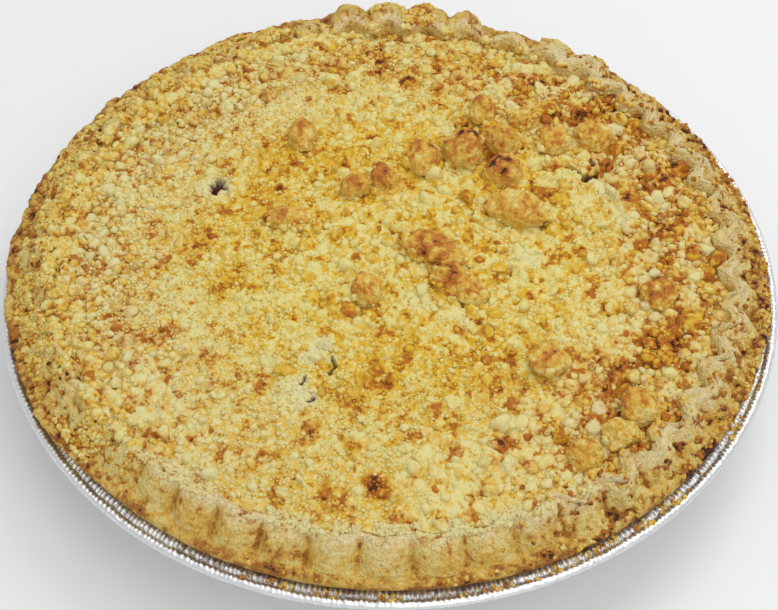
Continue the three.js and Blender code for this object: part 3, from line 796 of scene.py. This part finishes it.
# Stands in for the reach where a ray slips out between two faces of a lump's solid
MISSED_REACH = 4
lumps = [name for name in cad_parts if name.startswith("lump_")]
baked = []
for number, name in enumerate(lumps):
    low, high = [np.array(corner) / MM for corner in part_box(name)]
    bpy.ops.object.select_all(action="DESELECT")
    bpy.ops.mesh.primitive_ico_sphere_add(subdivisions=6, radius=MM)
    lump = bpy.context.object
    lump.name = name + "_baked"
    seed = 70 + 7 * number
    outwards = vertices_of(lump)
    solid = surface_of(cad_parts[name])
    middle = (low + high) / 2
    reaches = [solid.ray_cast(middle, Vector(way).normalized())[3] or MISSED_REACH for way in outwards]
    at = outwards * np.array(reaches)[:, None]
    granular = knobs(at, 2.2, seed + 2)
    at += outwards * (1.3 * swells(at, 6.5, seed) + 1.3 * knobs(at, 5.2, seed + 1) + 0.6 * granular
                      + 0.25 * knobs(at, 1.1, seed + 3))[:, None]
    at -= (at.max(axis=0) + at.min(axis=0)) / 2
    at = middle + at / at.max(axis=0) * (high - low) / 2
    share = (at[:, 2] - low[2]) / (high[2] - low[2])
    toast = 0.04 + LUMP_TOAST.get(name, 0.3) * ramp(share, 0.25, 0.95) * (1 + 1.3 * swells(at, 2.4, seed + 4))
    # Painted shade: more toast in the creases between the granular knobs, less on their tops.
    toast += 0.22 * (0.6 - granular) + 0.16 * swells(at, 1.1, seed + 5)
    if name in LUMP_BURNS:
        x, y, reach, much = LUMP_BURNS[name]
        away = np.hypot(at[:, 0] - x, at[:, 1] - y) + 1.6 * swells(at, 2, seed + 6)
        burnt = much * (1 - ramp(away, 0.1 * reach, 1.3 * reach)) * ramp(share, 0.4, 0.75)
        toast += burnt * (0.85 + 0.6 * swells(at, 1.3, seed + 8))
    if "folded" in name:
        crease = np.min([np.hypot(at[:, 0] - x, at[:, 1] - y) for x, y in FOLD + BRANCH], axis=0)
        crease += 0.6 * swells(at, 2.5, seed + 7)
        at -= outwards * (0.9 * (1 - ramp(crease, 0.2, 1.8)))[:, None]
        toast += 0.25 * (1 - ramp(crease, 0.3, 2))
    move_vertices(lump, at)
    lump.data.shade_smooth()
    add_mask(lump, "toast", toast)
    add_mask(lump, "stain", 0 * toast)
    lump.data.materials.append(lump_dough)
    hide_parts(name)
    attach(lump, "root")
    baked.append(lump)

# The crumbs: those that stand out of the layer, from grains of 1 mm to crumbs of 7 mm, each kind one
# piece. One crumb of a kind is modelled, and its copies are turned, stretched, dented and broken by chance.
TAKEN_CELL = 8.0
ABOVE_ALL = 80
taken = {}


def settle(count, sizes, tries, region, crowding, seed):
    """Scatters crumbs where region says, a radius for each, none much closer than its neighbours allow."""
    chance = np.random.default_rng(seed)
    away = CRUMB_REACH * np.sqrt(chance.random(tries))
    turn = 2 * np.pi * chance.random(tries)
    drops = np.column_stack([away * np.cos(turn), away * np.sin(turn), chance.uniform(*sizes, tries)])
    x, y = drops[:, 0], drops[:, 1]
    drops = drops[chance.random(tries) < region(x, y) * on_topping(x, y)]
    spots = []
    for x, y, size in drops.tolist():
        if len(spots) == count:
            break
        cell = (int(x // TAKEN_CELL), int(y // TAKEN_CELL))
        near = (spot for i in (-1, 0, 1) for j in (-1, 0, 1)
                for spot in taken.get((cell[0] + i, cell[1] + j), ()))
        if any((x - sx) ** 2 + (y - sy) ** 2 < (crowding * (size + other)) ** 2 for sx, sy, other in near):
            continue
        taken.setdefault(cell, []).append((x, y, size))
        spots.append((x, y, size))
    return np.array(spots)


def landing(surfaces, spots):
    """The height at which each spot first meets one of these surfaces from above."""
    heights = []
    for x, y in spots[:, :2].tolist():
        hits = [surface.ray_cast((x, y, ABOVE_ALL), (0, 0, -1))[0] for surface in surfaces]
        heights.append(max(hit.z for hit in hits if hit))
    return np.array(heights)


def joined_crumbs(name, spots, heights, toast, tops, stain, subdivisions, seed):
    """One mesh of crumbs at these spots: a ball of few faces, copied, turned, stretched, dented, broken.

    Each has its own toast, with that of its top added, and its own share of flour.
    """
    chance = np.random.default_rng(seed)
    bpy.ops.object.select_all(action="DESELECT")
    bpy.ops.mesh.primitive_ico_sphere_add(subdivisions=subdivisions, radius=MM)
    model = bpy.context.object
    ball = vertices_of(model)
    faces = np.array([face.vertices[:] for face in model.data.polygons])
    bpy.data.objects.remove(model)
    count = len(spots)
    quaternions = chance.normal(size=(count, 4))
    quaternions /= np.linalg.norm(quaternions, axis=1)[:, None]
    w, x, y, z = quaternions.T
    turns = np.stack([1 - 2 * (y * y + z * z), 2 * (x * y - w * z), 2 * (x * z + w * y),
                      2 * (x * y + w * z), 1 - 2 * (x * x + z * z), 2 * (y * z - w * x),
                      2 * (x * z - w * y), 2 * (y * z + w * x), 1 - 2 * (x * x + y * y)], axis=1)
    turns = turns.reshape(-1, 3, 3)
    stretched = ball[None] * chance.uniform(0.66, 1.18, (count, 1, 3))
    dented = swells((ball[None] * 1.4 + chance.uniform(0, 50, (count, 1, 3))).reshape(-1, 3), 1, 51)
    knobbly = swells((ball[None] * 3.5 + chance.uniform(0, 50, (count, 1, 3))).reshape(-1, 3), 1, 53)
    stretched *= (1 + 0.42 * dented.reshape(count, -1) + 0.16 * knobbly.reshape(count, -1))[..., None]
    for _ in range(3):
        facet = chance.normal(size=(count, 1, 3))
        facet /= np.linalg.norm(facet, axis=2)[..., None]
        beyond = (stretched * facet).sum(axis=2) - chance.uniform(0.5, 0.9, (count, 1))
        stretched -= facet * np.maximum(beyond, 0)[..., None]
    placed = np.einsum("nij,nvj->nvi", turns, stretched) * spots[:, 2][:, None, None]
    top = placed[..., 2] / spots[:, 2][:, None]
    placed[..., 2] *= 0.85
    placed += np.column_stack([spots[:, :2], heights])[:, None, :]
    mesh = bpy.data.meshes.new(name)
    numbered = faces[None] + (np.arange(count) * len(ball))[:, None, None]
    mesh.from_pydata((placed.reshape(-1, 3) * MM).tolist(), [], numbered.reshape(-1, 3).tolist())
    piece = bpy.data.objects.new(name, mesh)
    bpy.context.collection.objects.link(piece)
    mesh.shade_smooth()
    patchy = swells(placed.reshape(-1, 3), 1.3, 52).reshape(count, -1)
    # Painted shade: each crumb gets more toast low on its sides and less on its top. Brown tops are added on
    # their own.
    own = chance.normal(0, 0.11, count)[:, None] + tops[:, None] * ramp(top, -0.3, 0.5) - 0.16 * top
    own += (0.08 + 0.45 * ramp(toast, 0.1, 0.5) + 0.6 * tops)[:, None] * patchy
    add_mask(piece, "toast", (toast[:, None] + own).ravel())
    add_mask(piece, "stain", np.repeat(stain, len(ball)))
    mesh.materials.append(crumbs)
    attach(piece, "root")


def on_topping(x, y):
    """How likely a crumb is to lie at each place in the topping: inside the wall and clear of cracks."""
    inside = np.hypot(x, y) < wall_reach(np.arctan2(y, x)) - 0.2
    return inside * (cracked(np.column_stack([x, y]), 1.6) < 1)


# Crumbs may lie this far in from a lump's widest outline
LUMP_MARGIN = 2.4
for name in lumps:
    low, high = [Vector(corner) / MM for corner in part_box(name)]
    centre = (low + high) / 2
    cell = (int(centre.x // TAKEN_CELL), int(centre.y // TAKEN_CELL))
    reach = min(high.x - low.x, high.y - low.y) / 2 - LUMP_MARGIN
    taken.setdefault(cell, []).append((centre.x, centre.y, reach))

heap = [surface_of(piece) for piece in (bed, *baked)]
ground = [heap[0], surface_of(crust), surface_of(tin)]

# Single crumbs that catch the eye: x, y, radius and how far the top of each is toasted
STANDING_OUT = [(-67, 57, 3.6, 0.4), (-56, 62, 3.4, 0.05), (-41, 69, 3.2, 0.4), (-15.5, 56, 3.6, 0.45),
                (39, 3, 3.4, 0), (47, -90, 2.7, 0), (76, -69.5, 2.4, 0.4), (72.5, -76, 2.2, 0.8),
                (52, -77.5, 3.2, 0.6), (-96, 45, 1.8, 1.2), (-22.5, -70, 2, 0.7), (67.5, 10.5, 3, 0.1),
                (21, 13, 2.2, 0.5), (13, 12, 1.8, 0.4), (28, 11, 2.5, 0.3), (24, 2, 2.3, 0.6),
                (30, 2, 2.3, 0.6), (28, -7, 2.2, 0.7), (34, -10, 3, 0.2), (-11, -7, 2, 0.5),
                (-36, -3, 2.4, 0.6), (-23, 6, 2.5, 0.3), (-26, -3, 3.2, 0.35), (-36, -19, 2.5, 0.75),
                (-24, -23, 2.8, 0.2), (-19, -23, 2.4, 0.2), (-13, -27, 3.2, 0.45), (-6, -29, 2.5, 0.7),
                (4, -32, 3, 0.3), (25, -27, 3, 0.3), (31, -28, 2.5, 0.5), (29, -36, 3.4, 0.75),
                (14, -39, 2, 0.7), (-1, -44, 3.2, 0.45), (-8, -53, 2.8, 0.55), (1, -53, 2.5, 0.7),
                (-11, -59, 2.2, 0.6), (36, -43, 2.8, 0.6), (18, -61, 2.5, 0.35), (-31, -50, 3.2, 0.2),
                (-11, -49, 2.2, 0), (-77, -69, 2, 0.45), (-72, -77, 2.6, 0.45), (-68, -71, 3, 0.35),
                (-64, -72, 2.6, 0.5), (-67, -78, 3.2, 0.55), (-59, -67, 2, 0.6)]
# How deep each sinks in as a share of its radius, its own toast, and the share of the table's toast used
STANDING_SUNK = 0.2
STANDING_TOAST = 0.12
STANDING_TOPS = 0.75
spots = np.array(STANDING_OUT)
for x, y, size in spots[:, :3].tolist():
    taken.setdefault((int(x // TAKEN_CELL), int(y // TAKEN_CELL)), []).append((x, y, size))
sunk_in = landing(ground, spots) - STANDING_SUNK * spots[:, 2]
joined_crumbs("crumbs_standing_out", spots, sunk_in, np.full(len(spots), STANDING_TOAST),
              STANDING_TOPS * spots[:, 3], dusting_at(spots), 4, 59)


def clumped(x, y):
    """Where the crumbs have clumped most: round the lumps at the back right, and less along the right."""
    by_lumps = np.exp(-((x - 32) ** 2 + (y - 36) ** 2) / 32 ** 2)
    return by_lumps + 0.3 * ramp(np.hypot(x, y), 66, 76) * ramp(x, 0, 20)


KINDS = {
    "crumbs_clumped": dict(count=130, sizes=(2.6, 3.6), tries=5000, region=clumped, crowding=0.8,
                           faces=3, sunk=(-0.6, -0.2), brown=0.3),
    "crumbs_large": dict(count=330, sizes=(2.0, 3.0), tries=9000, region=coarse, crowding=0.82,
                         faces=2, sunk=(-0.65, -0.2), brown=0.18),
    "crumbs_middling": dict(count=2300, sizes=(1.2, 2.0), tries=30000, region=coarse, crowding=0.72,
                            faces=2, sunk=(-0.65, -0.1), brown=0.14),
    "crumbs_small": dict(count=9500, sizes=(0.5, 1.0), tries=70000, region=fine, crowding=0.62,
                         faces=1, sunk=(-0.5, 0.1), brown=0.05),
}
# Crumbs that would land this high up on a lump are left out
FLANK = 3
# The most that a crumb is toasted, alone and with its top, and how much a brown top adds
MOST_TOAST = 0.7
MOST_WITH_TOP = 0.75
BROWN_TOP = 0.45
for seed, (name, kind) in enumerate(KINDS.items(), 60):
    spots = settle(kind["count"], kind["sizes"], kind["tries"], kind["region"], kind["crowding"], seed)
    heights = landing(heap, spots)
    low_down = heights - landing(heap[:1], spots) < FLANK
    spots, heights = spots[low_down], heights[low_down]
    chance = np.random.default_rng(seed + 100)
    heights += spots[:, 2] * (chance.uniform(*kind["sunk"], len(spots)) + 0.3 * band_at(spots))
    own = 0.15 * right_at(spots) * chance.normal(size=len(spots))
    toast = np.minimum(toast_at(spots) + own, MOST_TOAST)
    dusted = dusting_at(spots) * chance.uniform(0.2, 2, len(spots)) * (1 - ramp(toast, 0.25, 0.6))
    stain = np.maximum(0.5 * flour_at(spots), dusted)
    brown = chance.random(len(spots)) < kind["brown"]
    tops = np.minimum(BROWN_TOP * brown, np.maximum(MOST_WITH_TOP - toast, 0))
    joined_crumbs(name, spots, heights, toast, tops, stain, kind["faces"], seed + 200)


# The crumbs on the rim: strewn over the flutes at the left and the back, fallen into the hollows, and
# baked dark on the flange and the foil, mostly at the right.
def scattered_round(count, arcs, radii, sizes, seed):
    """Spots on the rim: on these arcs of middle and half width in degrees, between two radii."""
    chance = np.random.default_rng(seed)
    middles, widths = np.array(arcs, float).T
    which = chance.choice(len(arcs), count, p=widths / widths.sum())
    angles = np.radians(middles[which] + widths[which] * chance.uniform(-1, 1, count))
    away = chance.uniform(*radii, count)
    return np.column_stack([away * np.cos(angles), away * np.sin(angles), chance.uniform(*sizes, count)])


RIM_CRUMBS = {
    "rim_crumbs_strewn": dict(count=12000, arcs=[(168, 60), (88, 6)], radii=(100, 117),
                              sizes=(0.5, 1.2), toast=0.24, faces=1),
    "rim_crumbs_coarse": dict(count=560, arcs=[(165, 62)], radii=(98, 107),
                              sizes=(1.2, 2.2), toast=0.2, faces=2),
    "rim_crumbs_back": dict(count=800, arcs=[(98, 44)], radii=(98.5, 104),
                            sizes=(0.9, 2.0), toast=0.14, faces=2),
    "rim_crumbs_floury": dict(count=5200, arcs=[(-102, 46)], radii=(101.5, 107),
                              sizes=(0.4, 1.0), toast=0.06, faces=1),
    "rim_crumbs_brown": dict(count=1300, arcs=[(-5, 65)], radii=(96, 104),
                             sizes=(0.7, 1.5), toast=0.36, faces=1),
    "rim_crumbs_flange": dict(count=620, arcs=[(0, 75), (190, 40)], radii=(107, 117),
                              sizes=(0.4, 1), toast=0.5, faces=1),
    "rim_crumbs_fallen": dict(count=520, arcs=[(-15, 50), (-88, 22)], radii=(116.5, 120.3),
                              sizes=(0.4, 1.05), toast=0.42, faces=1),
    "rim_crumbs_burnt": dict(count=260, arcs=[(-15, 60), (185, 40)], radii=(107, 119),
                             sizes=(0.5, 1.1), toast=0.95, faces=1),
}
for seed, (name, kind) in enumerate(RIM_CRUMBS.items(), 400):
    spots = scattered_round(kind["count"], kind["arcs"], kind["radii"], kind["sizes"], seed)
    clustered = swells(np.column_stack([spots[:, :2], 0 * spots[:, 0]]), 6, seed)
    spots = spots[clustered > (-0.3 if kind["faces"] == 2 else -0.1)]
    heights = landing(ground, spots) + 0.1 * spots[:, 2]
    toast = np.full(len(spots), kind["toast"])
    stain = np.full(len(spots), 0.5 if name.endswith("floury") else 0.12)
    tops = BROWN_TOP * (np.random.default_rng(seed + 20).random(len(spots)) < 0.1)
    joined_crumbs(name, spots, heights, toast, tops, stain, kind["faces"], seed + 50)
